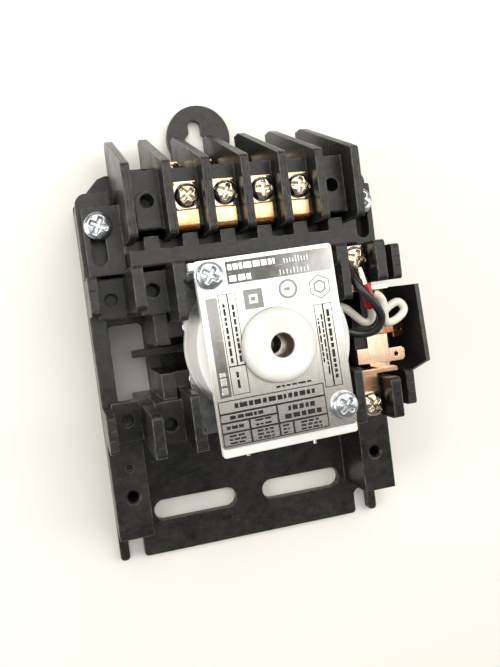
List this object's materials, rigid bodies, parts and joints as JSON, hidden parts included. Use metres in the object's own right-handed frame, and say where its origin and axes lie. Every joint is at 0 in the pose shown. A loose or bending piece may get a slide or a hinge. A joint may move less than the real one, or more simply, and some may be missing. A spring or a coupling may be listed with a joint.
{
  "type": "electromagnetic contactor",
  "caption": "Open-type magnetic contactor on a moulded base with keyhole tab, barrier fins, screw terminals, round white coil, brushed nameplate and sliding contact carrier",
  "frame": {"origin": "centre of the mounting face, on the symmetry plane of the base; the part lies on its back", "axes": "+Z points out of the panel, away from the mounting face; +Y points to the keyhole tab, up when mounted; +X is to the right"},
  "size_m": [0.1125, 0.1724, 0.0754],
  "materials": {
    "black_moulding": "moulded phenolic, satin",
    "black_sheet": "insulating sheet, smooth",
    "zinc_screw": "bright zinc plate",
    "nickel_screw": "nickel plate",
    "copper_strip": "rolled copper",
    "brass_strip": "rolled brass",
    "dark_copper": "tarnished copper",
    "silver_tip": "silver contact alloy",
    "magnet_steel": "plated steel",
    "plated_steel": "zinc plate",
    "brass_pin": "turned brass",
    "spring_steel": "drawn wire",
    "white_moulding": "white moulded plastic",
    "copper_winding": "enamelled copper wire",
    "brushed_plate": "brushed, printed",
    "white_insulation": "wire insulation",
    "black_insulation": "wire insulation",
    "red_sleeve": "sleeving"
  },
  "bodies": {
    "housing": {"base_plate": "black_moulding", "pole_block": "black_moulding", "front_bar": "black_moulding", "left_terminal_tower": "black_moulding", "right_terminal_tower": "black_moulding", "auxiliary_block": "black_moulding", "side_barrier": "black_sheet", "pole_block_screws": "zinc_screw", "nameplate_screws": "zinc_screw", "nameplate_washers": "zinc_screw", "magnet_frame_screws": "zinc_screw", "line_terminal_screws": "nickel_screw", "line_clamp_washers": "nickel_screw", "load_terminal_screws": "nickel_screw", "load_clamp_washers": "nickel_screw", "auxiliary_terminal_screws": "nickel_screw", "auxiliary_clamp_washers": "nickel_screw", "line_contact_strip_1": "copper_strip", "line_contact_strip_2": "copper_strip", "line_contact_strip_3": "copper_strip", "line_contact_strip_4": "copper_strip", "load_contact_strip_1": "copper_strip", "load_contact_strip_2": "copper_strip", "load_contact_strip_3": "copper_strip", "load_contact_strip_4": "copper_strip", "upper_auxiliary_strip": "brass_strip", "lower_auxiliary_strip": "brass_strip", "spare_quick_connect_blade": "dark_copper", "bore_bush": "dark_copper", "fixed_contact_tips": "silver_tip", "auxiliary_fixed_tips": "silver_tip", "magnet_frame": "magnet_steel", "cover_posts": "magnet_steel", "coil_clip": "plated_steel", "core_ring": "plated_steel", "coil_shell": "white_moulding", "coil_front_plate": "white_moulding", "coil_bobbin": "white_moulding", "coil_winding": "copper_winding", "nameplate": "brushed_plate", "white_coil_lead": "white_insulation", "white_jumper_lead": "white_insulation", "black_coil_lead": "black_insulation", "red_sleeve": "red_sleeve"},
    "armature": {"plunger": "magnet_steel", "plunger_pin": "plated_steel", "indicator_pin": "brass_pin", "crossbar": "black_moulding", "contact_bridge_1": "copper_strip", "contact_bridge_2": "copper_strip", "contact_bridge_3": "copper_strip", "contact_bridge_4": "copper_strip", "moving_contact_tips": "silver_tip", "contact_springs": "spring_steel", "bridge_retainers": "plated_steel", "auxiliary_bridge": "copper_strip", "return_spring": "spring_steel"}
  },
  "joints": [
    {"name": "armature_slide", "type": "slide", "parent": "housing", "child": "armature", "axis": [0, 0, 1], "range_m": [0, 0.005], "stiffness_N_per_m": 400, "springref_m": -0.005, "deforming": ["return_spring"]}
  ]
}
